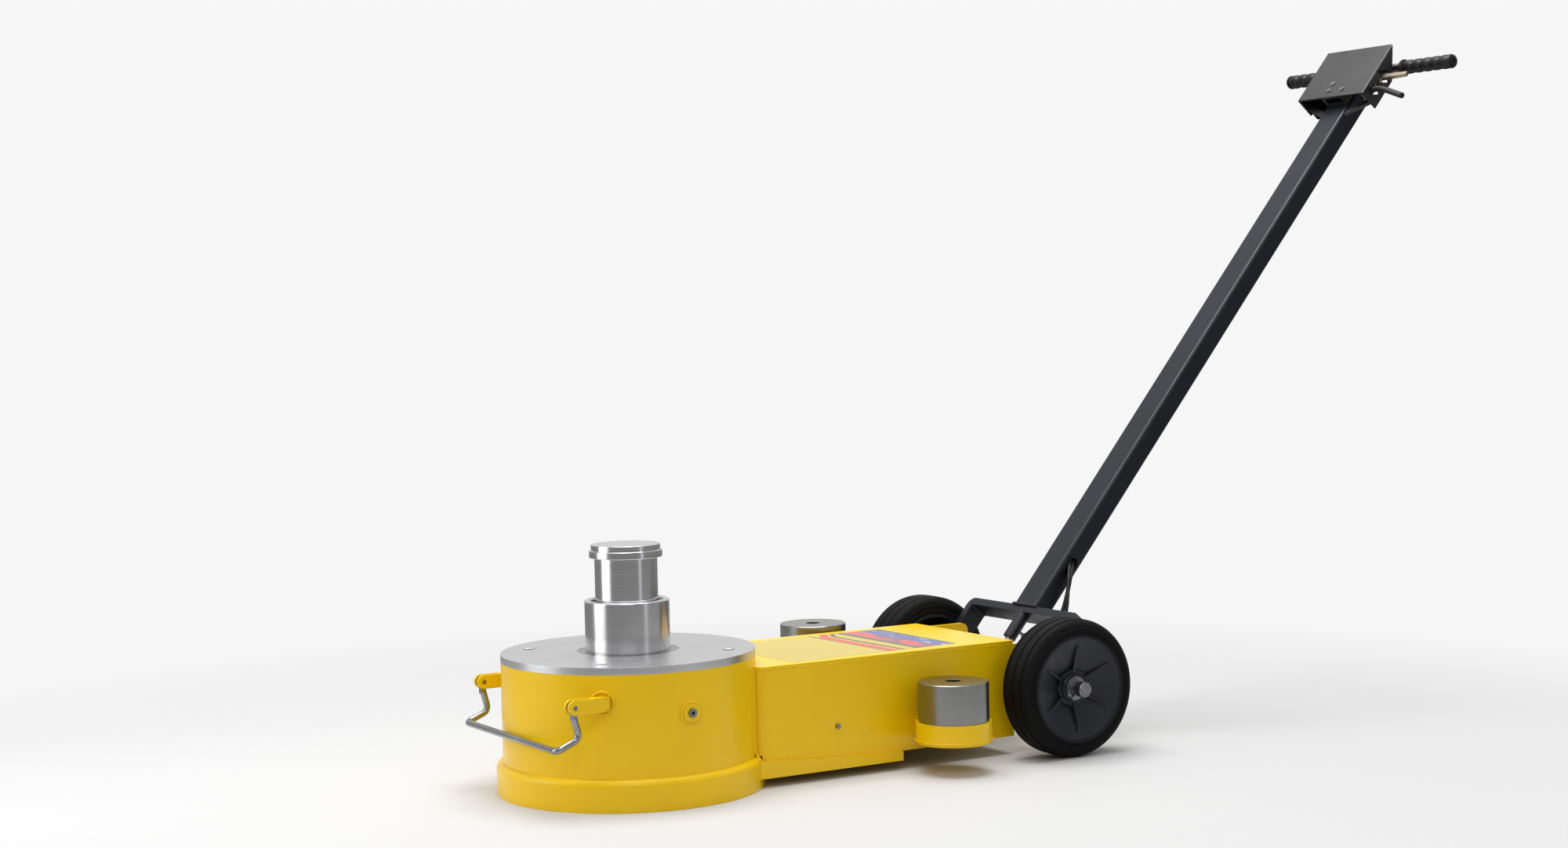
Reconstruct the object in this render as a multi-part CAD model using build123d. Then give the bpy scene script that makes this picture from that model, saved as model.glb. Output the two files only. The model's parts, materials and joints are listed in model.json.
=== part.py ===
from build123d import *
import math
import os

# Two-stage telescopic air-hydraulic floor jack on two wheels, millimetres.
# Origin on the ram axis at the underside of the base, +X towards the wheels and handle, +Z up.

# drum and rams
DRUM_R = 175.0
DRUM_WALL = 15.0
DRUM_TOP = 180.0
FLOOR_T = 12.0
BASE_R = 184.0
BASE_H = 34.0
COVER_T = 10.0
COVER_TOP = DRUM_TOP + COVER_T
CYL_BORE = 70.0
CYL_R = 84.0
RAM1_R = 58.3
RAM1_TOP = 260.0
RAM1_FOOT = 72.0
RAM1_BORE = 50.0
PISTON_T = 20.0
GLAND1_R = 70.0
GLAND1_FOOT = 152.5
RAM2_R = 43.2
RAM2_FOOT = 142.0
RAM2_TOP = 318.0
GLAND2_FOOT = 222.0
GLAND2_TOP = 252.0
SADDLE_R = 50.3
SADDLE_TOP = 336.0
FIT = 0.05
GAP = 0.3

# chassis box behind the drum
BOX_HALF = 124.0
BOX_WALL = 6.0
BOX_FRONT = 131.0
BOX_REAR = 563.0
BOX_FOOT = 26.0
BOX_TOP = 166.0
BOX_CORNER = 20.0
WALL_TOP = BOX_TOP - BOX_WALL
EAR_REAR = 655.0
TRAY_REAR = 366.0
TRAY_HALF = 129.0
TRAY_FOOT = 13.0
TRAY_TOP = 38.0
LEDGE_END = (302.0, 27.0)

# extension adapters in their cups
CUP_X = 413.4
CUP_Y = 185.7
CUP_R = 53.4
CUP_FOOT = 42.7
CUP_FLOOR = 53.0
CUP_TOP = 72.5
ADAPTER_R = 50.2
SHORT_TOP = 128.3
TALL_TOP = 173.4

# wheels and axle
AXLE_X = 616.0
WHEEL_R = 100.0
AXLE_R = 11.0
AXLE_END = 226.0
TYRE_IN = 152.0
TYRE_OUT = 213.0
RIM_R = 77.0
HUB_IN = 141.0
HUB_END = 201.5
HUB_R = 21.0
COLLAR_R = 28.0
DISH_IN = 192.0
CLIP = (203.9, 206.1)
BUSH_R = 14.0
RIBS = 6

# handle: local frame has x up the tube, y across, z out of its front face
HANDLE_ANGLE = 49.6
HANDLE = Pos(AXLE_X, 0, WHEEL_R) * Rot(0, -HANDLE_ANGLE, 0)
TUBE_W = 52.9
TUBE_D = 33.5
TUBE_WALL = 3.0
TUBE_FOOT = 113.0
TUBE_END = 1229.0
YOKE_T = 12.0
YOKE_D = 32.0
ARM_IN = 126.3
ARM_EYE = 21.0
SLOT_U = 200.0
SLOT_N = -0.6
SLOT_L = 33.0
SLOT_W = 16.6
HEAD_FOOT = 1126.0
HEAD_END = 1232.0
HEAD_BACK = 1185.0
HEAD_HALF = 75.0
HEAD_FRONT = 38.7
SHEET = 3.0
BAR_U = 1216.0
BAR_N = -1.0
BAR_R = 8.0
BAR_HALF = 184.0
GRIP_R = 11.5
GRIP_IN = 79.0
GRIP_OUT = 188.0
PIN_R = 4.0
LIFT_U = 1175.0
LIFT_N = 21.0
LIFT_PIVOT_U = 1170.0
LEVER_PIVOT_Y = -46.0
RELEASE_U = 1146.0
RELEASE_N = 24.0
PLUNGER_U = 1183.0
INLET_U = 1158.0
INLET_R = 5.9
INLET_DEPTH = 14.0

# front bail
LUG_X = -155.5
LUG_Y = 143.7
LUG_Z = 143.5
LUG_R = 9.6
LUG_ROOT = -116.0
EAR_NEAR = 3.2
EAR_FAR = 7.4
BAIL_D = 9.2
BAIL_EYE = 2.9
BAIL_REACH = 24.8

# pump works inside the box
PUMP_Z = 92.0
PUMP_BLOCK = (180.0, 300.0)
AIR_R = 46.0
AIR_WALL = 5.0
AIR_ENDS = (300.0, 500.0)
AIR_CAP = 12.0
PLUNGER_R = 8.0
VALVE_X = 262.0
VALVE_Y = 34.0

# countersunk cover screws, head rivets, and lock notches
SCREW_PCD_R = 141.0
SCREW_SPOTS = [(SCREW_PCD_R * math.cos(math.radians(a)), SCREW_PCD_R * math.sin(math.radians(a)))
               for a in range(139, 499, 90)]
RIVET_SPOTS = [(1156.0, 12.0), (1141.0, 11.5), (1141.0, -18.5)]
LOCK_ANGLES = [0.0, 40.0, -40.0]
LOCK_N = 7.5
SLEEVE_FOOT = 58.0

NODES = {}

# hose routes in the handle's frame (up the tube, across, out of the front face), valve first
AIR_HOSE_R = 3.2
AIR_HOSE_UPPER = [(1128, -8, 0), (1016, -8, 0), (840, -5, 1), (640, -8, -1), (440, -7, -4), (290, -9, -4),
                  (229, -10, -3.6), (193, -31, -4), (161, -40, -12), (132, -38, -25), (100, -33, -31)]
AIR_HOSE_LOWER = [(668, -42, 136), (632, -43, 133), (604, -44, 134), (580, -44, 134)]
PILOT_HOSE_R = 2.4
PILOT_HOSE_UPPER = [(1128, 10, 0), (1016, 10, 0), (840, 11, -1), (640, 9, 1), (440, 9, 2.5), (330, 4, 3),
                    (258, -3, 3), (222, -14, 3), (192, -32, 2.6), (166, -44, -6), (136, -47, -24),
                    (104, -47, -36)]
PILOT_HOSE_LOWER = [(672, -60, 128), (636, -64, 128), (606, -66, 134), (580, -66, 134)]


def ring(outer, inner, low, high):
    """Vertical ring or, with inner 0, a plain disc, between two heights."""
    body = Pos(0, 0, (low + high) / 2) * Cylinder(outer, high - low)
    if inner:
        body -= Pos(0, 0, (low + high) / 2) * Cylinder(inner, high - low + 2)
    return body


def block(x0, x1, y0, y1, z0, z1):
    """Axis-aligned block from its limits."""
    return Pos((x0 + x1) / 2, (y0 + y1) / 2, (z0 + z1) / 2) * Box(x1 - x0, y1 - y0, z1 - z0)


def along_y(outer, inner, x, z, y0, y1):
    """Ring or disc about an axis parallel to Y."""
    low, high = min(y0, y1), max(y0, y1)
    return Pos(x, 0, z) * Rot(-90, 0, 0) * ring(outer, inner, low, high)


def along_x(outer, inner, y, z, x0, x1):
    """Ring or disc about an axis parallel to X."""
    return Pos(0, y, z) * Rot(0, 90, 0) * ring(outer, inner, x0, x1)


def polar(radius, angle):
    """Plan position at a radius and an angle in degrees."""
    return radius * math.cos(math.radians(angle)), radius * math.sin(math.radians(angle))


def add(name, shape):
    """Keep one named piece."""
    NODES[name] = shape


# ---- drum, cylinder and rams -------------------------------------------------

def lug_pair(side):
    """Two round-ended ears of one front clevis on a solid root, with the pin hole through both."""
    pair = block(LUG_X + 24, LUG_ROOT + 12, LUG_Y - EAR_FAR, LUG_Y + EAR_NEAR + 1, LUG_Z - LUG_R, LUG_Z + LUG_R)
    for low, high in ((EAR_NEAR, EAR_FAR), (-EAR_FAR, -EAR_NEAR)):
        pair += block(LUG_X, LUG_ROOT, LUG_Y + low, LUG_Y + high, LUG_Z - LUG_R, LUG_Z + LUG_R)
        pair += along_y(LUG_R, 0, LUG_X, LUG_Z, LUG_Y + low, LUG_Y + high)
        pair += along_y(LUG_R, 0, LUG_ROOT, LUG_Z, LUG_Y + low, LUG_Y + high)
    pair -= along_y(3.0, 0, LUG_X, LUG_Z, LUG_Y - 20, LUG_Y + 20)
    return pair if side > 0 else mirror(pair, about=Plane.XZ)


def drum_housing():
    """Cast drum: base ring, oil space, two front clevises and a plug boss."""
    shoulder = 9.0
    mid = shoulder * math.sqrt(0.5)
    with BuildSketch(Plane.XZ) as profile:
        with BuildLine():
            Polyline((0, 0), (BASE_R, 0), (BASE_R, BASE_H))
            ThreePointArc((BASE_R, BASE_H), (DRUM_R + mid, BASE_H + mid), (DRUM_R, BASE_H + shoulder))
            Polyline((DRUM_R, BASE_H + shoulder), (DRUM_R, DRUM_TOP), (DRUM_R - DRUM_WALL, DRUM_TOP),
                     (DRUM_R - DRUM_WALL, FLOOR_T), (0, FLOOR_T), (0, 0))
        make_face()
    body = revolve(profile.sketch, Axis.Z)
    core = ring(DRUM_R - DRUM_WALL, 0, FLOOR_T, DRUM_TOP + 1)
    for side in (1, -1):
        body += lug_pair(side) - core
    body += along_y(13, 0, 1, 125, -DRUM_R - 4, -DRUM_R + 10) - core
    body -= along_y(6, 0, 1, 125, -DRUM_R - 6, -DRUM_R + DRUM_WALL + 2)
    return body - along_x(5, 0, 0, 60, DRUM_R - DRUM_WALL - 4, DRUM_R + 6)


def cover_plate():
    """Aluminium cover with a bored centre and four countersunk holes."""
    plate = ring(DRUM_R, GLAND1_R, DRUM_TOP, COVER_TOP)
    for x, y in SCREW_SPOTS:
        plate -= Pos(x, y, 0) * ring(4.2, 0, DRUM_TOP - 1, COVER_TOP + 1)
        plate -= Pos(x, y, COVER_TOP - 2.5) * Cone(4.2, 9.2, 5)
    return plate


def cover_screws():
    """Four countersunk screws with hexagon sockets."""
    screws = Part()
    for x, y in SCREW_SPOTS:
        head = Pos(x, y, COVER_TOP - 2.6) * Cone(4.0, 8.6, 4.6)
        head += Pos(x, y, 0) * ring(4.0, 0, DRUM_TOP + 0.3, COVER_TOP - 4.5)
        socket = extrude(RegularPolygon(3.4, 6), 3.2)
        screws += head - Pos(x, y, COVER_TOP - 3.2) * socket
    return screws


def rams():
    """Main cylinder, glands, both rams with their seals, and the saddle."""
    cylinder = ring(CYL_R, CYL_BORE, FLOOR_T, DRUM_TOP)
    cylinder -= along_x(5, 0, 0, 60, CYL_BORE - 4, CYL_R + 4)
    gland1 = ring(GLAND1_R, RAM1_R + FIT, GLAND1_FOOT, COVER_TOP - GAP)
    gland1 -= ring(RAM1_R + 2.6, 0, COVER_TOP - 9, COVER_TOP - 4)
    ram1 = ring(RAM1_R, RAM1_BORE, RAM1_FOOT + PISTON_T, RAM1_TOP)
    ram1 += ring(CYL_BORE - FIT, RAM1_BORE, RAM1_FOOT, RAM1_FOOT + PISTON_T)
    ram1 += ring(RAM1_BORE, 7, RAM1_FOOT, RAM1_FOOT + FLOOR_T)
    ram1 = fillet(ram1.edges().filter_by(GeomType.CIRCLE).group_by(Axis.Z)[-1], 2.4)
    ram1 -= ring(CYL_BORE + 1, CYL_BORE - 5, RAM1_FOOT + 6, RAM1_FOOT + 14)
    gland2 = ring(RAM1_BORE, RAM2_R + FIT, GLAND2_FOOT, GLAND2_TOP)
    gland2 -= ring(RAM2_R + 2.6, 0, GLAND2_TOP - 4, GLAND2_TOP + 1)
    ram2 = ring(RAM2_R, 26, RAM2_FOOT, RAM2_TOP - 14) + ring(RAM2_R, 0, RAM2_TOP - 14, RAM2_TOP)
    ram2 += ring(RAM1_BORE - FIT, 26, RAM2_FOOT, RAM2_FOOT + PISTON_T)
    ram2 -= ring(RAM1_BORE + 1, RAM1_BORE - 4.5, RAM2_FOOT + 6, RAM2_FOOT + 14)
    saddle = ring(SADDLE_R, 0, RAM2_TOP, RAM2_TOP + 10)
    saddle = fillet(saddle.edges().filter_by(GeomType.CIRCLE), 0.9)
    top = ring(SADDLE_R - 2.7, 0, RAM2_TOP + 10, SADDLE_TOP)
    saddle += fillet(top.edges().group_by(Axis.Z)[-1], 0.9)
    add("main_cylinder", cylinder)
    add("outer_gland", gland1)
    add("outer_wiper", ring(RAM1_R + 2.6, RAM1_R + FIT, COVER_TOP - 9, COVER_TOP - 4))
    add("outer_ram", ram1)
    add("outer_piston_seal", ring(CYL_BORE - FIT, CYL_BORE - 5, RAM1_FOOT + 6, RAM1_FOOT + 14))
    add("inner_gland", gland2)
    add("inner_wiper", ring(RAM2_R + 2.6, RAM2_R + FIT, GLAND2_TOP - 4, GLAND2_TOP + 0.6))
    add("inner_ram", ram2)
    add("inner_piston_seal", ring(RAM1_BORE - FIT, RAM1_BORE - 4.5, RAM2_FOOT + 6, RAM2_FOOT + 14))
    add("saddle", saddle)


def socket_plug(radius, length):
    """Plug along +Z with a hexagon socket in its upper end."""
    body = ring(radius, 0, 0, length)
    return body - Pos(0, 0, length - 5) * extrude(RegularPolygon(radius * 0.5, 6), 6)


# ---- chassis box, tray, cups and adapters --------------------------------------

def box_outline(inset, rear):
    """Plan of the box, rounded at its two front corners."""
    half = BOX_HALF - inset
    front = BOX_FRONT + inset
    plan = Pos((front + rear) / 2, 0) * Rectangle(rear - front, 2 * half)
    return fillet(plan.vertices().group_by(Axis.X)[0], BOX_CORNER - inset)


def chassis_box():
    """Side walls and rear wall in one folded plate, with ears that carry the axle."""
    walls = Pos(0, 0, BOX_FOOT) * extrude(box_outline(0, BOX_REAR), WALL_TOP - BOX_FOOT)
    walls -= Pos(0, 0, BOX_FOOT - 1) * extrude(box_outline(BOX_WALL, BOX_REAR - BOX_WALL), BOX_TOP)
    walls -= ring(DRUM_R, 0, -1, BOX_TOP + 1)
    walls -= ring(BASE_R + 0.5, 0, -1, BASE_H + 9.5)
    with BuildSketch(Plane.XZ) as side:
        with BuildLine():
            Polyline((BOX_REAR, 50), (AXLE_X, 62), (EAR_REAR, 84), (EAR_REAR, WALL_TOP - 12))
            ThreePointArc((EAR_REAR, WALL_TOP - 12), (EAR_REAR - 3.5, WALL_TOP - 3.5), (EAR_REAR - 12, WALL_TOP))
            Polyline((EAR_REAR - 12, WALL_TOP), (BOX_REAR, WALL_TOP), (BOX_REAR, 50))
        make_face()
    ear = Pos(0, BOX_HALF, 0) * extrude(side.sketch, BOX_WALL)
    walls += ear + mirror(ear, about=Plane.XZ)
    walls -= along_y(AXLE_R, 0, AXLE_X, WHEEL_R, -BOX_HALF - 1, BOX_HALF + 1)
    for y in (-44, -66):
        walls -= along_x(6, 0, y, 134, BOX_REAR - 10, BOX_REAR + 4)
    for side_y in (BOX_HALF, -BOX_HALF):
        walls -= along_y(3.0, 0, 260, 72.6, side_y - 8, side_y + 8)
    return walls


def box_top():
    """Top plate, cut round the drum."""
    plate = Pos(0, 0, WALL_TOP) * extrude(box_outline(0, BOX_REAR), BOX_WALL)
    plate = chamfer(plate.edges().group_by(Axis.Z)[-1], 0.8)
    return plate - ring(DRUM_R, 0, 0, BOX_TOP + 1)


def floor_plates():
    """Front tray with a ledge that stands proud of the side walls, and the raised rear floor."""
    end, low = LEDGE_END
    with BuildSketch(Plane.XZ) as side:
        with BuildLine():
            Polyline((120, TRAY_FOOT), (TRAY_REAR, TRAY_FOOT), (TRAY_REAR, BOX_FOOT), (end, low),
                     (BOX_FRONT, TRAY_TOP), (120, TRAY_TOP), close=True)
        make_face()
    tray = Pos(0, TRAY_HALF, 0) * extrude(side.sketch, 2 * TRAY_HALF)
    tray -= block(119, TRAY_REAR + 1, -BOX_HALF, BOX_HALF, BOX_FOOT, TRAY_TOP + 1)
    tray -= block(119, TRAY_REAR - BOX_WALL, 10 - BOX_HALF, BOX_HALF - 10, TRAY_FOOT + 5, TRAY_TOP)
    for x in (178, 263):
        for edge in (1, -1):
            tray -= Pos(x, edge * (TRAY_HALF - 2.5), 0) * ring(1.6, 0, TRAY_TOP - 12, TRAY_TOP + 1)
    tray -= ring(BASE_R, 0, 0, TRAY_TOP + 1)
    inside = BOX_HALF - BOX_WALL
    return tray + block(TRAY_REAR + 0.5, BOX_REAR - BOX_WALL, -inside, inside, BOX_FOOT, BOX_FOOT + 4)


def cup(side):
    """Open cup for an adapter, welded to the side wall by a short web."""
    body = ring(CUP_R, 0, CUP_FOOT, CUP_TOP) - ring(ADAPTER_R + GAP, 0, CUP_FLOOR, CUP_TOP + 1)
    web = block(-24, 24, -CUP_Y + BOX_HALF, 10 - CUP_R, CUP_FOOT + 4, CUP_TOP - 8)
    body += web - ring(CUP_R - 1, 0, 0, CUP_TOP + 1)
    if side < 0:
        body = mirror(body, about=Plane.XZ)
    return Pos(CUP_X, side * CUP_Y, 0) * body


def adapter(side, top):
    """Turned steel extension with a small socket hole in its top."""
    body = ring(ADAPTER_R, 0, CUP_FLOOR + 0.2, top)
    body = chamfer(body.edges().filter_by(GeomType.CIRCLE), 1.0)
    body -= ring(11, 0, top - 16, top + 1)
    return Pos(CUP_X, side * CUP_Y, 0) * body


# ---- wheels ----------------------------------------------------------------------

def turned(points):
    """Solid of revolution about Z from an outline of (radius, height) points."""
    with BuildSketch(Plane.XZ) as profile:
        with BuildLine():
            Polyline(*points, close=True)
        make_face()
    return revolve(profile.sketch, Axis.Z)


def on_axle(body, side):
    """Put a body built about Z, with Z as the distance from the middle, on one end of the axle."""
    body = Pos(AXLE_X, 0, WHEEL_R) * Rot(-90, 0, 0) * body
    return body if side > 0 else mirror(body, about=Plane.XZ)


def tyre():
    """Solid tyre with rounded shoulders and three fine grooves."""
    body = ring(WHEEL_R, RIM_R - 4, TYRE_IN, TYRE_OUT)
    shoulders = body.edges().filter_by(GeomType.CIRCLE).sort_by(SortBy.RADIUS)[-2:]
    body = fillet(shoulders, 12) - ring(RIM_R, 0, TYRE_OUT - 2, TYRE_OUT + 1)
    for k in range(3):
        y = TYRE_IN + 14.5 + k * 17.5
        body -= ring(WHEEL_R + 1, WHEEL_R - 1.8, y, y + 2.2)
    return body


def rim():
    """Dished rim: a cone from the edge down to an eight-sided collar, with six tapered ribs and a hub."""
    well = [(RIM_R - 4, TYRE_IN), (RIM_R - 4, TYRE_OUT - 2), (RIM_R, TYRE_OUT - 2), (RIM_R, TYRE_OUT - 0.6),
            (RIM_R - 1.5, TYRE_OUT), (RIM_R - 4, TYRE_OUT - 0.8), (HUB_R, DISH_IN), (HUB_R, HUB_END - 1.2),
            (HUB_R - 1.2, HUB_END), (BUSH_R, HUB_END), (BUSH_R, HUB_IN), (HUB_R, HUB_IN), (HUB_R, DISH_IN - 8),
            (RIM_R - 9, TYRE_OUT - 12), (RIM_R - 9, TYRE_IN)]
    body = turned(well)
    slope = (TYRE_OUT - 0.8 - DISH_IN) / (RIM_R - 4 - HUB_R)
    tip = RIM_R - 13
    with BuildSketch(Plane.XZ) as side:
        with BuildLine():
            Polyline((HUB_R - 2, DISH_IN - 2), (tip, DISH_IN + slope * (tip - HUB_R) - 2),
                     (tip, DISH_IN + slope * (tip - HUB_R)), (tip - 5, DISH_IN + slope * (tip - HUB_R) + 0.6),
                     (HUB_R - 2, DISH_IN + 6), close=True)
        make_face()
    rib = Pos(0, 2.2, 0) * extrude(side.sketch, 4.4)
    for k in range(RIBS):
        body += Rot(0, 0, 30 + k * 360 / RIBS) * rib
    collar = Pos(0, 0, DISH_IN - 2) * extrude(RegularPolygon(COLLAR_R, 8), 7.5)
    return body + (collar - ring(BUSH_R, 0, 0, HUB_END + 1))


def wheels():
    """Both wheels with their bushes, and the shared axle with its washers and circlips."""
    low, high = CLIP
    axle = along_y(AXLE_R, 0, AXLE_X, WHEEL_R, -AXLE_END, AXLE_END)
    axle = chamfer(axle.edges().filter_by(GeomType.CIRCLE), 1.0)
    for side in (1, -1):
        axle -= along_y(AXLE_R + 1, AXLE_R - 1.5, AXLE_X, WHEEL_R, side * low, side * high)
    add("axle", axle)
    clip = ring(AXLE_R + 3.4, AXLE_R - 1.5, low, high)
    clip -= block(0, 20, -4, 4, low - 1, high + 1)
    for spread in (1, -1):
        clip += Rot(0, 0, spread * 25) * Pos(AXLE_R + 4, 0, (low + high) / 2) * Cylinder(2.8, high - low)
    washers = ring(17, AXLE_R + 0.1, HUB_END + 0.2, low - 0.2) + ring(19, AXLE_R + 0.1, 138.8, 140.8)
    add("circlips", on_axle(Rot(0, 0, 140) * clip, 1) + on_axle(Rot(0, 0, 140) * clip, -1))
    add("axle_washers", on_axle(washers, 1) + on_axle(washers, -1))
    for name, side in (("near", -1), ("far", 1)):
        add("tyre_" + name, on_axle(tyre(), side))
        add("rim_" + name, on_axle(rim(), side))
        add("bush_" + name, on_axle(ring(BUSH_R, AXLE_R + FIT, HUB_IN, HUB_END), side))


# ---- handle ------------------------------------------------------------------------

def handle_tube():
    """Rectangular tube with rounded edges, open to the head, with the hose hole in its near side."""
    length = TUBE_END - TUBE_FOOT
    outer = fillet(Rectangle(TUBE_W, TUBE_D).vertices(), 6)
    inner = fillet(Rectangle(TUBE_W - 2 * TUBE_WALL, TUBE_D - 2 * TUBE_WALL).vertices(), 3)
    # the sketch plane looks along the tube: sketch x is across, sketch y is out of the front face
    across = Plane(origin=(TUBE_FOOT, 0, 0), x_dir=(0, 1, 0), z_dir=(1, 0, 0))
    body = extrude(across * outer, length) - extrude(across * inner, length)
    slot = Plane(origin=(SLOT_U, -TUBE_W / 2 - 5, SLOT_N), x_dir=(1, 0, 0), z_dir=(0, 1, 0))
    body -= extrude(slot * SlotOverall(SLOT_L, SLOT_W), 12)
    body -= along_y(BAR_R, 0, BAR_U, BAR_N, -TUBE_W, TUBE_W)
    body -= Pos(INLET_U, 0, 0) * ring(9.5, 0, -TUBE_D / 2 - 1, -TUBE_D / 2 + 4)
    return body - along_y(3.3, 0, PLUNGER_U, 0, -TUBE_W / 2 - 2, -TUBE_W / 2 + 6)


def grommet():
    """Oval rubber grommet in the tube's hose hole."""
    face = Plane(origin=(SLOT_U, -TUBE_W / 2 - 1.5, SLOT_N), x_dir=(1, 0, 0), z_dir=(0, 1, 0))
    lip = extrude(face * SlotOverall(SLOT_L + 3, SLOT_W + 1), 1.5)
    sleeve = extrude(face * SlotOverall(SLOT_L, SLOT_W), TUBE_WALL + 1.5)
    return lip + sleeve - extrude(face * SlotOverall(SLOT_L - 3, SLOT_W - 2.4), 12)


def yoke():
    """Flat bar bent to a U, from under the tube down to the axle, with the lock pin's sleeve."""
    arm_out = ARM_IN + YOKE_T
    half = YOKE_D / 2
    body = block(0, TUBE_FOOT, -arm_out, arm_out, -half, half)
    bends = body.edges().filter_by(Axis.Z).group_by(Axis.X)[-1]
    body = fillet(bends, 14)
    window = block(-1, TUBE_FOOT - YOKE_T, -ARM_IN, ARM_IN, -half - 1, half + 1)
    body -= fillet(window.edges().filter_by(Axis.Z).group_by(Axis.X)[-1], 3)
    for side in (1, -1):
        low, high = sorted((side * ARM_IN, side * arm_out))
        body += along_y(ARM_EYE, 0, 0, 0, low, high)
    body -= along_y(AXLE_R + FIT, 0, 0, 0, -arm_out - 1, arm_out + 1)
    sleeve = along_x(10, 0, 0, LOCK_N, SLEEVE_FOOT, TUBE_FOOT - YOKE_T + 1)
    bore = along_x(5.2, 0, 0, LOCK_N, SLEEVE_FOOT - 1, TUBE_FOOT - YOKE_T - 4)
    return body + sleeve - bore - block(64, 84, -2.6, 2.6, LOCK_N - 11, LOCK_N)


def head_box():
    """Folded sheet head: front plate, wedge-shaped sides with lever holes, and two braces."""
    wedge = [(HEAD_FOOT, HEAD_FRONT), (HEAD_FOOT, 1.0), (HEAD_BACK, 1.5), (HEAD_END, HEAD_FRONT)]
    with BuildSketch(Plane.XZ) as side:
        with BuildLine():
            Polyline(*wedge, close=True)
        make_face()
    body = Pos(0, HEAD_HALF, 0) * extrude(side.sketch, 2 * HEAD_HALF)
    body = fillet(body.edges().filter_by(Axis.X).group_by(Axis.Z)[-1], 2.5)
    body -= block(HEAD_FOOT - 1, HEAD_END + 9, SHEET - HEAD_HALF, HEAD_HALF - SHEET, -5, HEAD_FRONT - SHEET)
    for u, n, reach in ((LIFT_U + 3, LIFT_N - 1, 14), (RELEASE_U + 3, RELEASE_N - 2, 12.5)):
        hole = Plane(origin=(u, -HEAD_HALF - 5, n), x_dir=(1, 0, 0), z_dir=(0, 1, 0))
        body -= extrude(hole * RegularPolygon(reach, 4), 12)
    for u, y in RIVET_SPOTS:
        body -= Pos(u, y, 0) * ring(2.5, 0, HEAD_FRONT - 6, HEAD_FRONT + 1)
    return body + head_braces()


def head_spacer():
    """Folded bracket between the tube's front face and the head plate, holding the lever pins."""
    low, high = TUBE_D / 2, HEAD_FRONT - SHEET
    body = block(HEAD_FOOT + 2, 1200, -24, 24, low, high) - block(HEAD_FOOT, 1204, -19, 19, low + 4, high - 4)
    wing = block(HEAD_FOOT + 14, 1200, -58, -24, high - 4, high)
    body += wing
    for u in (LIFT_PIVOT_U, RELEASE_U):
        body -= Pos(u, LEVER_PIVOT_Y, 0) * ring(PIN_R, 0, high - 6, high + 1)
    for u, y in RIVET_SPOTS:
        body -= Pos(u, y, 0) * ring(2.5, 0, high - 6, high + 1)
    return body


def head_braces():
    """Two flat bars from the side walls down to the tube's sides."""
    bars = Part()
    for side in (1, -1):
        with BuildSketch(Plane.XY.offset(9)) as bar:
            with BuildLine():
                Polyline((1129, side * 72), (1139, side * 72), (1118, side * TUBE_W / 2),
                         (1106, side * TUBE_W / 2), close=True)
            make_face()
        bars += extrude(bar.sketch, 5)
    return bars


def grip():
    """Rubber grip with shallow finger ridges and a closed rounded end, built along +Z."""
    points = [(BAR_R, GRIP_IN)]
    with BuildSketch(Plane.XZ) as profile:
        with BuildLine():
            Polyline((BAR_R, GRIP_IN), (GRIP_R + 2, GRIP_IN), (GRIP_R + 2, GRIP_IN + 4), (GRIP_R, GRIP_IN + 6))
            pitch = (GRIP_OUT - 12 - GRIP_IN) / 5
            for k in range(5):
                z = GRIP_IN + 6 + k * pitch
                ThreePointArc((GRIP_R, z), (GRIP_R - 1.2, z + pitch / 2), (GRIP_R, z + pitch))
            ThreePointArc((GRIP_R, GRIP_OUT - 6), (GRIP_R - 2, GRIP_OUT - 1.5), (GRIP_R - 5, GRIP_OUT))
            Polyline((GRIP_R - 5, GRIP_OUT), (0, GRIP_OUT), (0, BAR_HALF), (BAR_R, BAR_HALF), (BAR_R, GRIP_IN))
        make_face()
    return revolve(profile.sketch, Axis.Z)


def levers():
    """Lift lever and release lever, each on a pin in the head."""
    eye = Pos(LIFT_PIVOT_U, LEVER_PIVOT_Y, 0) * ring(8, 0, LIFT_N - 3, LIFT_N + 3)
    with BuildSketch(Plane.XY.offset(LIFT_N - 3)) as blade:
        with BuildLine():
            Polyline((LIFT_PIVOT_U - 6, LEVER_PIVOT_Y), (LIFT_PIVOT_U + 7, LEVER_PIVOT_Y), (LIFT_U + 5, -60),
                     (LIFT_U + 4, -128), (LIFT_U - 2, -128), (LIFT_U - 5, -62), close=True)
        make_face()
    lift = eye + extrude(blade.sketch, 6)
    lift += block(PLUNGER_U - 15, PLUNGER_U + 5, LEVER_PIVOT_Y - 4, LEVER_PIVOT_Y + 4, LIFT_N - 3, LIFT_N + 3)
    lift += block(PLUNGER_U - 4, PLUNGER_U + 5, LEVER_PIVOT_Y - 4, LEVER_PIVOT_Y + 4, -4, LIFT_N)
    lift -= Pos(LIFT_PIVOT_U, LEVER_PIVOT_Y, 0) * ring(PIN_R + FIT, 0, 0, HEAD_FRONT)
    path = FilletPolyline((RELEASE_U, LEVER_PIVOT_Y - 6), (RELEASE_U + 1, -92), (RELEASE_U - 22, -152), radius=60)
    pipe = Pos(0, 0, RELEASE_N) * sweep(Plane(origin=path @ 0, z_dir=path % 0) * Circle(4.8), path=path)
    eye2 = Pos(RELEASE_U, LEVER_PIVOT_Y, 0) * ring(8, 0, RELEASE_N - 4, RELEASE_N + 4)
    release = eye2 + pipe - Pos(RELEASE_U, LEVER_PIVOT_Y, 0) * ring(PIN_R + FIT, 0, 0, HEAD_FRONT)
    return lift, release


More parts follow.
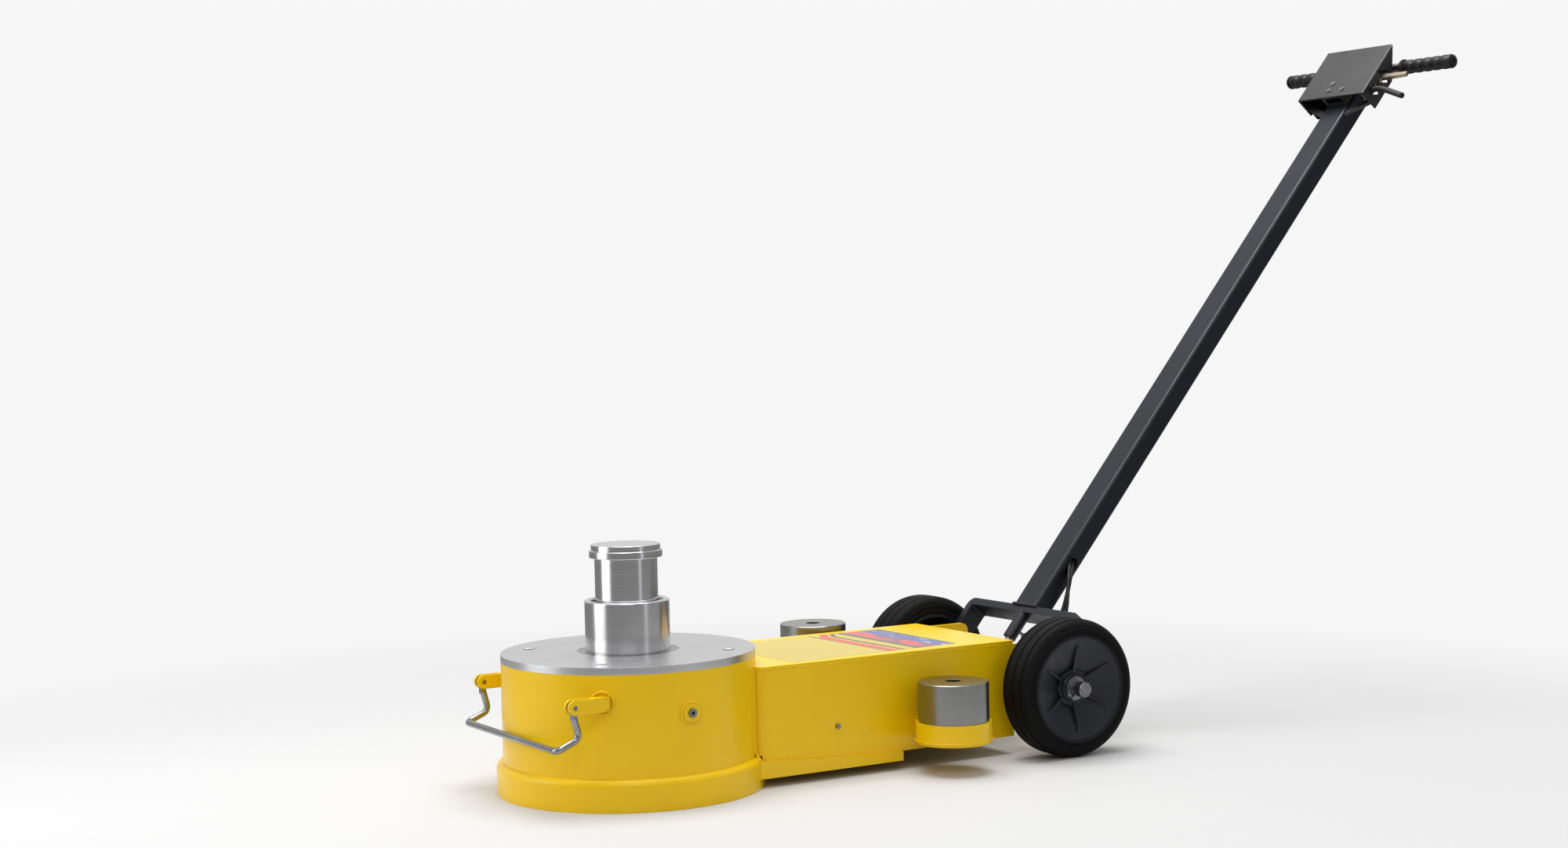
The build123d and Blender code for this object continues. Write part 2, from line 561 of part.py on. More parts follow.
def hose(upper, lower, radius):
    """Hose along straight runs joined by arcs, from the tube's inside to the box."""
    points = [(HANDLE * Pos(*p)).position for p in upper] + [Vector(*p) for p in lower]
    runs = [(b - a).length for a, b in zip(points, points[1:])]
    radii = []
    for k in range(1, len(points) - 1):
        turn = (points[k] - points[k - 1]).get_angle(points[k + 1] - points[k])
        radii.append(0.45 * min(runs[k - 1], runs[k]) / math.tan(math.radians(turn) / 2))
    path = FilletPolyline(*points, radius=radii)
    start = Plane(origin=path @ 0, z_dir=path % 0)
    body = sweep(start * Circle(radius), path=path)
    print("hose radii", [round(r) for r in radii], "length", round(path.length, 1),
          "volume ratio", round(body.volume / (math.pi * radius ** 2 * path.length), 5))
    return body


def handle():
    """Everything that tilts with the handle, and its levers."""
    lift, release = levers()
    high = HEAD_FRONT - SHEET
    pins = Part()
    for u in (LIFT_PIVOT_U, RELEASE_U):
        pins += Pos(u, LEVER_PIVOT_Y, 0) * ring(PIN_R, 0, 12, high)
        pins += Pos(u, LEVER_PIVOT_Y, 0) * ring(PIN_R + 3, 0, 10, 12)
    rivets = Part()
    for u, y in RIVET_SPOTS:
        rivets += Pos(u, y, 0) * ring(2.5, 0, high - 4, HEAD_FRONT)
        rivets += Pos(u, y, 0) * ring(4.2, 0, HEAD_FRONT, HEAD_FRONT + 1.4)
    valve = block(HEAD_FOOT + 2, 1198, -22.9, 22.9, -13.2, 13.2)
    valve = fillet(valve.edges().filter_by(Axis.X), 3.4)
    valve -= along_y(3.0 + FIT, 0, PLUNGER_U, 0, -24, 0)
    valve -= Pos(INLET_U, 0, 0) * ring(INLET_R, 0, -14, INLET_DEPTH - 13.2)
    plunger = along_y(3.0, 0, PLUNGER_U, 0, LEVER_PIVOT_Y + 4.4, -5)
    pieces = {"yoke": yoke(), "handle_tube": handle_tube(), "hose_grommet": grommet(), "head_box": head_box(),
              "head_spacer": head_spacer(), "head_rivets": rivets,
              "lever_pins": pins, "air_valve": valve, "valve_plunger": plunger,
              "lift_lever": lift, "release_lever": release,
              "grip_bar": along_y(BAR_R, BAR_R - 2, BAR_U, BAR_N, -BAR_HALF, BAR_HALF)}
    for name, angle in (("near", 90), ("far", -90)):
        pieces["grip_" + name] = Pos(BAR_U, 0, BAR_N) * Rot(angle, 0, 0) * grip()
    for name, shape in pieces.items():
        add(name, HANDLE * shape)
    add("air_hose", hose(AIR_HOSE_UPPER, AIR_HOSE_LOWER, AIR_HOSE_R))
    add("pilot_hose", hose(PILOT_HOSE_UPPER, PILOT_HOSE_LOWER, PILOT_HOSE_R))


def handle_lock():
    """Notched sector on the box, and the lock pin that slides in the yoke's sleeve."""
    sector = along_y(46, 0, AXLE_X, WHEEL_R, -5, 5)
    sector += block(BOX_REAR, AXLE_X, -5, 5, WHEEL_R - 30, WHEEL_R + 30)
    sector -= along_y(AXLE_R + 0.1, 0, AXLE_X, WHEEL_R, -6, 6)
    for tilt in LOCK_ANGLES:
        notch = block(38, 50, -6, 6, -6, 6)
        sector -= Pos(AXLE_X, 0, WHEEL_R) * Rot(0, -HANDLE_ANGLE - tilt, 0) * Pos(0, 0, LOCK_N) * notch
    pin = along_x(5.1, 0, 0, LOCK_N, 48.5, 90)
    pin += Pos(76, 0, 0) * ring(2.2, 0, LOCK_N - 20, LOCK_N)
    pin += Pos(76, 0, 0) * ring(4.5, 0, LOCK_N - 27, LOCK_N - 19)
    add("lock_sector", sector)
    add("lock_pin", HANDLE * pin)


# ---- front bail, pump works and small parts ------------------------------------------

def bail():
    """Bent rod handle with a flattened eye in each clevis."""
    side = LUG_Y
    neck = LUG_Z - LUG_R - 4
    knee, corner = (LUG_X + 8, 102.0), (LUG_X - BAIL_REACH, 88.5)
    route = [(LUG_X + 0.6, side, neck), (knee[0], side, knee[1]), (corner[0], side, corner[1]),
             (corner[0], -side, corner[1]), (knee[0], -side, knee[1]), (LUG_X + 0.6, -side, neck)]
    path = FilletPolyline(*route, radius=[10, 8, 8, 10])
    rod = sweep(Plane(origin=path @ 0, z_dir=path % 0) * Circle(BAIL_D / 2), path=path)
    for y in (side, -side):
        rod += along_y(8.0, 0, LUG_X, LUG_Z, y - BAIL_EYE, y + BAIL_EYE)
        tongue = block(LUG_X - 4.2, LUG_X + 4.2, y - BAIL_EYE, y + BAIL_EYE, neck - 3, LUG_Z)
        rod += tongue
        rod -= along_y(3.0, 0, LUG_X, LUG_Z, y - 9, y + 9)
    return rod


def pump_works():
    """Air motor, pump block, release valve and balls inside the box."""
    front, rear = PUMP_BLOCK
    pump = block(front, rear, -48, 48, TRAY_FOOT + 5.2, 132) - ring(DRUM_R + GAP, 0, 0, 150)
    pump -= ring(BASE_R + GAP, 0, 0, BASE_H + 9.3)
    pump -= along_x(PLUNGER_R + FIT, 0, 0, PUMP_Z, 214, rear + 1)
    pump -= along_x(5, 0, 0, 60, front - 10, 230)
    pump -= Pos(VALVE_X, VALVE_Y, 0) * ring(6 + FIT, 0, 80, 140)
    pump -= Pos(236, 0, 0) * ring(5, 0, 66, 78)
    a0, a1 = AIR_ENDS
    motor = along_x(AIR_R, AIR_R - AIR_WALL, 0, PUMP_Z, a0 + AIR_CAP, a1 - AIR_CAP)
    front_cap = along_x(AIR_R, PLUNGER_R + FIT, 0, PUMP_Z, a0, a0 + AIR_CAP)
    rear_cap = along_x(AIR_R, 0, 0, PUMP_Z, a1 - AIR_CAP, a1) - along_x(6, 0, 0, PUMP_Z, a1 - AIR_CAP, a1)
    bore = AIR_R - AIR_WALL
    piston = along_x(bore - FIT, 0, 0, PUMP_Z, 452, 468) + along_x(PLUNGER_R, 0, 0, PUMP_Z, 250, 452)
    piston -= along_x(bore + 1, bore - 4, 0, PUMP_Z, 457, 463)
    stem = Pos(VALVE_X, VALVE_Y, 0) * ring(6, 0, 86, 140)
    stem += Pos(VALVE_X, VALVE_Y, 0) * block(-7, 34, -6, 6, 134, 140)
    add("pump_block", pump)
    add("air_cylinder", motor)
    add("air_caps", front_cap + rear_cap)
    add("air_piston", piston)
    add("air_piston_seal", along_x(bore - FIT, bore - 4, 0, PUMP_Z, 457, 463))
    add("release_valve", stem)
    add("check_ball", Pos(236, 0, 71) * Sphere(4.6))


def small_parts():
    """Plug, oil tube, screws, pins and hose fittings."""
    add("drum_plug", Pos(1, -DRUM_R + 9, 125) * Rot(90, 0, 0) * socket_plug(5.95, 15))
    add("oil_tube", along_x(4.9, 3.5, 0, 60, CYL_R - 8, 216))
    screws = Part()
    for side in (1, -1):
        low, high = sorted((side * (BOX_HALF - 8), side * BOX_HALF))
        screws += along_y(2.95, 0, 260, 72.6, low, high)
        low, high = sorted((side * BOX_HALF, side * (BOX_HALF + 3)))
        screws += along_y(3.6, 0, 260, 72.6, low, high)
    add("side_screws", screws)
    pins = Part()
    for side in (1, -1):
        pins += along_y(2.95, 0, LUG_X, LUG_Z, side * LUG_Y - EAR_FAR - 0.3, side * LUG_Y + EAR_FAR + 0.3)
    add("bail_pins", pins)
    fittings = Part()
    for y in (-44, -66):
        inner = AIR_HOSE_R if y == -44 else PILOT_HOSE_R
        fittings += along_x(5.9, 0, y, 134, BOX_REAR - 12, BOX_REAR)
        fittings += Pos(BOX_REAR, y, 134) * Rot(0, 90, 0) * extrude(RegularPolygon(9, 6), 9)
        fittings += along_x(inner + 2.2, 0, y, 134, BOX_REAR + 9, BOX_REAR + 17)
    add("hose_fittings", fittings)


def main():
    os.makedirs("parts", exist_ok=True)
    add("drum_housing", drum_housing())
    add("cover_plate", cover_plate())
    add("cover_screws", cover_screws())
    rams()
    add("chassis_box", chassis_box())
    add("box_top", box_top())
    add("floor_plates", floor_plates())
    for name, side, top in (("near", -1, SHORT_TOP), ("far", 1, TALL_TOP)):
        add("cup_" + name, cup(side))
        add("adapter_" + name, adapter(side, top))
    wheels()
    handle()
    handle_lock()
    add("bail", bail())
    pump_works()
    small_parts()
    for name, shape in NODES.items():
        export_step(shape, "parts/" + name + ".step")
    print(len(NODES), "nodes")


if __name__ == "__main__":
    main()
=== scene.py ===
import json
import math

import bpy
from mathutils import Matrix, Vector


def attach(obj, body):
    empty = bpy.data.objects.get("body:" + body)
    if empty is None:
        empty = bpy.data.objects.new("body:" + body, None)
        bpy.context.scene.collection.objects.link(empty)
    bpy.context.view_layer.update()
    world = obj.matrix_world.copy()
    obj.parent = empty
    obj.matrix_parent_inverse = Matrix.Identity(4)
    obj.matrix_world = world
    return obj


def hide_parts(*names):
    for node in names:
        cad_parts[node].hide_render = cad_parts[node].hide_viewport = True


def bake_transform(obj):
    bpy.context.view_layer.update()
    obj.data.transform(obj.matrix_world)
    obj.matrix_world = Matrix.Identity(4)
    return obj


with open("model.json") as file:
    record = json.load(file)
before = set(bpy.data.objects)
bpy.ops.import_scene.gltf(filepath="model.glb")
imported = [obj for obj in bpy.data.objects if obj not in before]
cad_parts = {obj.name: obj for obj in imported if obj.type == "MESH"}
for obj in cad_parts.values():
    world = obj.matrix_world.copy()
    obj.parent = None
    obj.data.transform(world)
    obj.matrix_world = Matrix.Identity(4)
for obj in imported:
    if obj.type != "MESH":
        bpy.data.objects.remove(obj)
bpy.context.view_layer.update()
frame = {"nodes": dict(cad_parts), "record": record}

# A two-stage air-hydraulic floor jack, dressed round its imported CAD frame.
# Metres, +X towards the wheels, +Z up.

NODES = frame["nodes"]

# places and sizes that the CAD fixes
BOX_HALF = 0.124
BOX_TOP = 0.166
BOX_REAR = 0.563
CUP_X = 0.4134
CUP_Y = 0.1857
CUP_R = 0.0534
AXLE = Vector((0.616, 0.0, 0.100))
WHEEL_R = 0.100
TYRE_IN = 0.152
TYRE_OUT = 0.213
RIM_R = 0.077
BEAD_R = 0.073
HANDLE_TILT = math.radians(49.6)
TUBE_W = 0.0529
TUBE_D = 0.0335
TUBE_FOOT = 0.113
BAR_U = 1.216
BAR_N = -0.001
BAR_R = 0.008
GRIP_R = 0.0115
GRIP_IN = 0.079
GRIP_OUT = 0.188
LUG_Z = 0.1435
LUG_ROOT = -0.116
PLUG = Vector((0.001, -0.175, 0.125))
SIDES = (("near", -1), ("far", 1))
# where the box meets the drum, from the tray up, on the far side
SEAM = ((0.1376, 0.1240, 0.036), (0.1345, 0.1205, 0.041), (0.1325, 0.1170, 0.047),
        (0.1316, 0.1156, 0.052), (0.1316, 0.1156, 0.164))

# hose routes, the same points as in the CAD source, in the handle's frame and then in the row frame
AIR_HOSE_R = 0.0032
AIR_UPPER = [(1.128, -.008, 0), (1.016, -.008, 0), (.840, -.005, .001), (.640, -.008, -.001),
             (.440, -.007, -.004), (.290, -.009, -.004), (.229, -.010, -.0036), (.193, -.031, -.004),
             (.161, -.040, -.012), (.132, -.038, -.025), (.100, -.033, -.031)]
AIR_LOWER = [(.668, -.042, .136), (.632, -.043, .133), (.604, -.044, .134), (.580, -.044, .134)]
PILOT_HOSE_R = 0.0024
PILOT_UPPER = [(1.128, .010, 0), (1.016, .010, 0), (.840, .011, -.001), (.640, .009, .001),
               (.440, .009, .0025), (.330, .004, .003), (.258, -.003, .003), (.222, -.014, .003),
               (.192, -.032, .0026), (.166, -.044, -.006), (.136, -.047, -.024), (.104, -.047, -.036)]
PILOT_LOWER = [(.672, -.060, .128), (.636, -.064, .128), (.606, -.066, .134), (.580, -.066, .134)]

# camera, from fitting the object's edges to the picture
CAM_AT = Vector((-1.51489, -2.95440, 0.64456))
CAM_AZIMUTH = math.radians(-30.972)
CAM_PITCH = math.radians(2.5768)
CAM_ROLL = math.radians(-1.26383)
CAM_LENS = 55.529
SENSOR = 36.0

# printed panel on the box: its outline, a little wider at its front end
PANEL_FRONT = 0.1945
PANEL_REAR = 0.4800
PANEL_NEAR_FRONT = -0.112
PANEL_NEAR_REAR = -0.100
PANEL_FAR = 0.103
PANEL_CORNER = 0.003
PANEL_UNDER = 0.00002
PANEL_THICK = 0.00022

# what is printed across it, from and to a distance behind the drum's axis
RULED = (0.215, 0.345)
FRONT_LINE = (0.3555, 0.3600)
RED_BAND = (0.3605, 0.3745)
MIDDLE_LINE = (0.3795, 0.3875)
REAR_LINE = (0.4045, 0.4145)
DARK_BAND = (0.4145, 0.4440)
RED_STREAKS = (0.4185, 0.4430)
BLUE_BAND = (0.4440, 0.4730)
PALE_STREAKS = (0.4510, 0.4700)
EDGE_LINE = (0.4725, 0.4740)
PRINT_EDGE = 0.0007

# its colours
CREAM = (0.52, 0.42, 0.125)
LINE_GREY = (0.17, 0.17, 0.12)
PRINT_RED = (0.78, 0.135, 0.13)
PRINT_BLUE = (0.155, 0.175, 0.33)
PRINT_DARK = (0.24, 0.17, 0.19)
PRINT_PALE = (0.52, 0.52, 0.52)
RULE_CREAM = (0.50, 0.40, 0.13)
GRIME = (0.50, 0.45, 0.25)

# studio: the tone that the camera sees, and the levels that reflections see low down, overhead and behind
BACKDROP = (0.925, 0.925, 0.925, 1.0)
ROOM_LOW = 0.24
ROOM_HIGH = 0.72
ROOM_BACK = 0.76

# floor: half its width, its cells along a side, and the ring round its middle where it fades into the studio
FLOOR_REACH = 60.0
FLOOR_CELLS = 24
FLOOR_MIDDLE = (0.3, 0.0, 0.0)
FADE_FROM = 0.70
FADE_TO = 1.7

# area lights: name, place, the point they face, width, height and watts
LIGHTS = (
    ("strip", (-1.32, 0.48, 0.68), (0.0, 0.0, 0.6), 0.75, 1.30, 7.4),
    ("band", (-1.34, 0.03, 0.66), (0.0, 0.0, 0.6), 0.18, 1.26, 0.9),
    ("rim", (0.64, -1.42, 0.66), (0.0, 0.0, 0.6), 0.22, 1.26, 0.55),
    ("top", (0.3, 0.2, 3.0), (0.3, 0.0, 0.0), 2.4, 1.8, 94.0),
    ("front", (-1.4, -3.0, 2.9), (0.2, 0.0, 0.2), 2.0, 1.2, 22.0),
)


# ---- node helpers ------------------------------------------------------------------

def put(tree, socket, value):
    """Link a socket to another node, or set its value."""
    if isinstance(value, bpy.types.NodeSocket):
        tree.links.new(value, socket)
    else:
        socket.default_value = value


class Finish:
    """One procedural material and the few node calls that all of them share."""

    def __init__(self, name, roughness, metallic=0.0, **fixed):
        self.material = bpy.data.materials.new(name)
        self.material.use_nodes = True
        self.tree = self.material.node_tree
        self.shader = self.tree.nodes["Principled BSDF"]
        self.set("Roughness", roughness)
        self.set("Metallic", metallic)
        for socket, value in fixed.items():
            self.set(socket.replace("_", " "), value)

    def set(self, socket, value):
        put(self.tree, self.shader.inputs[socket], value)

    def node(self, kind, **props):
        made = self.tree.nodes.new("ShaderNode" + kind)
        for key, value in props.items():
            setattr(made, key, value)
        return made

    def place(self, origin=(0, 0, 0), stretch=(1, 1, 1)):
        """Position on the object in metres, from an origin and stretched."""
        coords = self.node("TexCoord")
        mapping = self.node("Mapping", vector_type="TEXTURE")
        put(self.tree, mapping.inputs["Vector"], coords.outputs["Object"])
        mapping.inputs["Location"].default_value = origin
        mapping.inputs["Scale"].default_value = [1 / s for s in stretch]
        return mapping.outputs["Vector"]

    def split(self, vector):
        made = self.node("SeparateXYZ")
        put(self.tree, made.inputs[0], vector)
        return made.outputs

    def join(self, x, y, z):
        made = self.node("CombineXYZ")
        for socket, value in zip(made.inputs, (x, y, z)):
            put(self.tree, socket, value)
        return made.outputs[0]

    def calc(self, operation, a, b=0.0, c=0.0):
        made = self.node("Math", operation=operation)
        for socket, value in zip(made.inputs, (a, b, c)):
            put(self.tree, socket, value)
        return made.outputs[0]

    def noise(self, vector, scale, detail=3.0, roughness=0.55):
        made = self.node("TexNoise")
        put(self.tree, made.inputs["Vector"], vector)
        made.inputs["Scale"].default_value = scale
        made.inputs["Detail"].default_value = detail
        made.inputs["Roughness"].default_value = roughness
        return made.outputs["Fac"]

    def distance(self, x, y):
        """How far a place is from the upright axis."""
        return self.calc("SQRT", self.calc("ADD", self.calc("MULTIPLY", x, x), self.calc("MULTIPLY", y, y)))

    def span(self, value, low, high, start=0.0, end=1.0):
        """value from low to high becomes start to end, and stays within them."""
        made = self.node("MapRange")
        for socket, number in zip(made.inputs, (value, low, high, start, end)):
            put(self.tree, socket, number)
        return made.outputs[0]

    def mix(self, factor, a, b):
        made = self.node("Mix", data_type="RGBA")
        put(self.tree, made.inputs["Factor"], factor)
        for socket, value in ((made.inputs[6], a), (made.inputs[7], b)):
            put(self.tree, socket, value if isinstance(value, bpy.types.NodeSocket) else (*value, 1.0))
        return made.outputs[2]

    def rings(self, centre, fine):
        """Lines that run round an upright axis through centre, as a lathe leaves them."""
        drift = 6.0
        x, y, z = self.split(self.place(centre))
        along = self.join(self.calc("MULTIPLY", self.distance(x, y), fine), self.calc("MULTIPLY", z, fine),
                          self.calc("MULTIPLY", self.calc("ADD", x, y), drift))
        return self.noise(along, 1.0, 2.0)

    def edges(self, radius):
        """1 on a sharp edge, 0 on flat faces."""
        bevel = self.node("Bevel", samples=4)
        bevel.inputs["Radius"].default_value = radius
        flat = self.node("NewGeometry")
        dot = self.node("VectorMath", operation="DOT_PRODUCT")
        put(self.tree, dot.inputs[0], bevel.outputs[0])
        put(self.tree, dot.inputs[1], flat.outputs["Normal"])
        return self.span(dot.outputs["Value"], 0.985, 0.86)

    def relief(self, height, strength, distance, edge=0.0):
        """Bump the surface by a height, over softly rounded edges."""
        bump = self.node("Bump")
        bump.inputs["Strength"].default_value = strength
        bump.inputs["Distance"].default_value = distance
        put(self.tree, bump.inputs["Height"], height)
        if edge:
            bevel = self.node("Bevel", samples=4)
            bevel.inputs["Radius"].default_value = edge
            put(self.tree, bump.inputs["Normal"], bevel.outputs[0])
        self.set("Normal", bump.outputs[0])


# ---- finishes ----------------------------------------------------------------------

def yellow_paint():
    """Gloss yellow enamel: slight orange peel, faint clouding, and paler lines along sharp edges, part wear
    and part painted highlight.
    """
    f = Finish("yellow_paint", 0.32, Coat_Weight=0.20, Coat_Roughness=0.20, Specular_IOR_Level=0.22)
    p = f.place()
    cloud = f.noise(p, 9.0, 4.0)
    colour = f.mix(f.span(cloud, 0.3, 0.7), (0.800, 0.505, 0.0010), (0.835, 0.535, 0.0015))
    dust = f.span(f.noise(p, 60.0, 6.0, 0.7), 0.62, 0.8, 0.0, 0.10)
    colour = f.mix(dust, colour, (0.60, 0.40, 0.05))
    # paler patchy lines along sharp edges: part paint wear, part painted highlight
    worn_and_highlit = f.calc("MULTIPLY", f.edges(0.0012), f.span(f.noise(p, 140.0, 4.0), 0.5, 0.75))
    f.set("Base Color", f.mix(f.calc("MULTIPLY", worn_and_highlit, 0.30), colour, (0.88, 0.66, 0.12)))
    f.set("Roughness", f.span(f.noise(p, 35.0, 5.0), 0.3, 0.75, 0.28, 0.38))
    f.relief(f.noise(p, 420.0, 2.0), 0.06, 0.0005, 0.0016)
    return f.material


def navy_paint():
    """Satin blue-black enamel with dust in the orange peel and paler edges, part rubbed wear and part painted
    highlight.
    """
    f = Finish("navy_paint", 0.4, Coat_Weight=0.08, Coat_Roughness=0.25, Specular_IOR_Level=0.34)
    p = f.place()
    cloud = f.span(f.noise(p, 14.0, 4.0), 0.3, 0.7)
    colour = f.mix(cloud, (0.0050, 0.0058, 0.0110), (0.0080, 0.0090, 0.0155))
    dust = f.span(f.noise(p, 220.0, 6.0, 0.75), 0.60, 0.82, 0.0, 0.25)
    colour = f.mix(dust, colour, (0.035, 0.035, 0.04))
    # paler patchy lines along sharp edges: part rubbed wear, part painted highlight
    rub_and_highlight = f.calc("MULTIPLY", f.edges(0.001), f.span(f.noise(p, 160.0, 5.0), 0.48, 0.72, 0.1, 0.7))
    f.set("Base Color", f.mix(rub_and_highlight, colour, (0.055, 0.058, 0.070)))
    f.set("Roughness", f.span(f.noise(p, 50.0, 5.0), 0.3, 0.75, 0.33, 0.5))
    f.relief(f.noise(p, 520.0, 3.0), 0.16, 0.0005, 0.0012)
    return f.material


def metal(name, low, high, rough, centre=None, fine=None, depth=0.1, stretch=(1, 1, 1)):
    """Bare metal between two colours, with lathe rings round a centre, or else stretched marks."""
    f = Finish(name, rough[0], 1.0)
    p = f.place()
    lines = f.rings(centre, fine) if centre else f.noise(f.place(stretch=stretch), 1.0, 3.0)
    soft = f.noise(p, 26.0, 4.0)
    shade = f.calc("ADD", f.calc("MULTIPLY", lines, 0.65), f.calc("MULTIPLY", soft, 0.35))
    f.set("Base Color", f.mix(f.span(shade, 0.35, 0.65), low, high))
    f.set("Roughness", f.span(shade, 0.3, 0.7, *rough))
    f.relief(lines, depth, 0.0002, 0.0006)
    return f.material


def rubber(name, colour, dusty, rough, grain, shine):
    """Black rubber with a fine grain and a little dust in it."""
    f = Finish(name, rough[0], Specular_IOR_Level=shine)
    p = f.place()
    mottle = f.noise(p, 45.0, 5.0, 0.65)
    f.set("Base Color", f.mix(f.span(mottle, 0.45, 0.85), colour, dusty))
    f.set("Roughness", f.span(mottle, 0.3, 0.75, *rough))
    f.relief(f.noise(p, grain, 4.0), 0.25, 0.0005)
    return f.material


def braided(name):
    """Rubber hose with the fine wrap marks of its cloth-cured cover."""
    f = Finish(name, 0.5, Specular_IOR_Level=0.4)
    p = f.place()
    x, _, z = f.split(p)
    wrap = f.calc("SINE", f.calc("MULTIPLY", f.calc("ADD", x, z), 2400.0))
    mottle = f.span(f.noise(p, 90.0, 4.0), 0.4, 0.8)
    f.set("Base Color", f.mix(mottle, (0.007, 0.007, 0.008), (0.022, 0.022, 0.024)))
    f.set("Roughness", f.span(f.noise(p, 60.0, 3.0), 0.3, 0.7, 0.4, 0.58))
    f.relief(f.calc("ADD", wrap, f.noise(p, 900.0, 2.0)), 0.2, 0.0002)
    return f.material


def box_decal():
    """A printed instruction panel with no lettering: faint rules, slanting lines, and bands of colour."""
    f = Finish("box_decal", 0.48, Specular_IOR_Level=0.2)
    p = f.place()
    x, y, _ = f.split(p)
    # every band slants a little: it sits further back on the near side
    slant = f.calc("ADD", x, f.calc("MULTIPLY", y, 0.028))
    # the two lines next to the cream part turn back near the far edge
    hook = f.calc("MULTIPLY", f.calc("MAXIMUM", f.calc("SUBTRACT", y, 0.075), 0.0), 0.55)
    hooked = f.calc("SUBTRACT", slant, hook)
    blur = f.calc("MULTIPLY", f.calc("SUBTRACT", f.noise(p, 160.0, 2.0), 0.5), 0.004)

    def band(where, limits):
        """1 between two distances, with slightly uneven edges."""
        low, high = limits
        place = f.calc("ADD", where, blur)
        return f.calc("MULTIPLY", f.span(place, low - PRINT_EDGE, low + PRINT_EDGE),
                      f.span(place, high + PRINT_EDGE, high - PRINT_EDGE))

    rules = f.calc("POWER", f.calc("ABSOLUTE", f.calc("SINE", f.calc("MULTIPLY", slant, 140.0))), 6.0)
    faint = f.calc("MULTIPLY", rules, band(slant, RULED))
    colour = f.mix(f.calc("MULTIPLY", faint, 0.30), CREAM, RULE_CREAM)
    colour = f.mix(band(slant, FRONT_LINE), colour, LINE_GREY)
    colour = f.mix(band(hooked, RED_BAND), colour, PRINT_RED)
    colour = f.mix(band(hooked, MIDDLE_LINE), colour, LINE_GREY)
    colour = f.mix(band(slant, REAR_LINE), colour, LINE_GREY)
    colour = f.mix(band(slant, DARK_BAND), colour, PRINT_DARK)
    patches = f.span(f.noise(f.place(stretch=(95, 15, 1)), 1.0, 1.0), 0.46, 0.54)
    colour = f.mix(f.calc("MULTIPLY", patches, band(slant, RED_STREAKS)), colour, PRINT_RED)
    colour = f.mix(band(slant, BLUE_BAND), colour, PRINT_BLUE)
    pale = f.span(f.noise(f.place(stretch=(60, 24, 1)), 1.0, 2.0), 0.55, 0.62)
    colour = f.mix(f.calc("MULTIPLY", pale, band(slant, PALE_STREAKS)), colour, PRINT_PALE)
    colour = f.mix(f.span(slant, *EDGE_LINE), colour, LINE_GREY)
    soiled = f.span(f.noise(p, 80.0, 5.0), 0.55, 0.85, 0.0, 0.15)
    f.set("Base Color", f.mix(soiled, colour, GRIME))
    f.relief(f.noise(p, 300.0, 3.0), 0.08, 0.0003)
    return f.material


def build_finishes():
    """All materials by name: one for each material slot, variants for two nodes, and the printed panel."""
    turned = {"low": (0.25, 0.25, 0.24), "high": (0.29, 0.29, 0.28), "rough": (0.24, 0.27), "fine": 2400.0,
              "depth": 0.012}
    return {
        "yellow_paint": yellow_paint(),
        "navy_paint": navy_paint(),
        "chrome": metal("chrome", (0.64, 0.64, 0.65), (0.69, 0.69, 0.70), (0.17, 0.22),
                        (0, 0, 0), fine=700.0, depth=0.02),
        "bail_chrome": metal("bail_chrome", (0.26, 0.26, 0.27), (0.34, 0.34, 0.35), (0.14, 0.24),
                             stretch=(40, 40, 40), depth=0.02),
        "aluminium": metal("aluminium", (0.56, 0.56, 0.57), (0.63, 0.63, 0.64), (0.28, 0.38),
                           (0, 0, 0), fine=1300.0, depth=0.08),
        "turned_steel": metal("turned_steel", centre=(CUP_X, -CUP_Y, 0.0), **turned),
        "turned_steel_far": metal("turned_steel_far", centre=(CUP_X, CUP_Y, 0.0), **turned),
        "fasteners": metal("fasteners", (0.16, 0.16, 0.17), (0.30, 0.30, 0.31), (0.26, 0.40),
                           stretch=(300, 300, 300)),
        "head_steel": metal("head_steel", (0.070, 0.070, 0.070), (0.090, 0.090, 0.090), (0.42, 0.58),
                            stretch=(60, 900, 60), depth=0.12),
        "bronze": metal("bronze", (0.42, 0.35, 0.25), (0.56, 0.48, 0.36), (0.25, 0.38),
                        stretch=(900, 60, 900)),
        "tyre": rubber("tyre", (0.0016, 0.0016, 0.0016), (0.0042, 0.0042, 0.0040), (0.60, 0.80), 700.0, 0.16),
        "rubber": rubber("rubber", (0.006, 0.006, 0.006), (0.016, 0.016, 0.016), (0.30, 0.45), 900.0, 0.35),
        "hose": braided("hose"),
        "box_decal": box_decal(),
    }


def dress_cad(finishes):
    """Give every CAD node the finish of its material slot."""
    slots = {row["node"]: row["material_slot"] for row in frame["record"]["subparts"]}
    special = {"adapter_far": "turned_steel_far", "bail": "bail_chrome"}
    for name, node in NODES.items():
        finish = finishes[special.get(name, slots[name])]
        node.data.materials.clear()
        node.data.materials.append(finish)


# ---- mesh helpers --------------------------------------------------------------------

def handle_point(u, y, n):
    """A point of the handle's own frame, in the row frame."""
    c, s = math.cos(HANDLE_TILT), math.sin(HANDLE_TILT)
    return AXLE + Vector((u * c - n * s, y, u * s + n * c))


def new_piece(name, vertices, faces, finish, body=None, slot=None, smooth=40.0):
    """Mesh piece with one finish, smooth except over sharp edges."""
    mesh = bpy.data.meshes.new(name)
    mesh.from_pydata([tuple(v) for v in vertices], [], faces)
    mesh.validate()
    mesh.materials.append(finish)
    piece = bpy.data.objects.new(name, mesh)
    bpy.context.scene.collection.objects.link(piece)
    mesh.shade_smooth()
    mesh.set_sharp_from_angle(angle=math.radians(smooth))
    if body:
        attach(piece, body)
    return piece


def across(axis):
    """The unit vector of an axis and two more square to it."""
    axis = Vector(axis).normalized()
    side = axis.orthogonal().normalized()
    return axis, side, axis.cross(side)


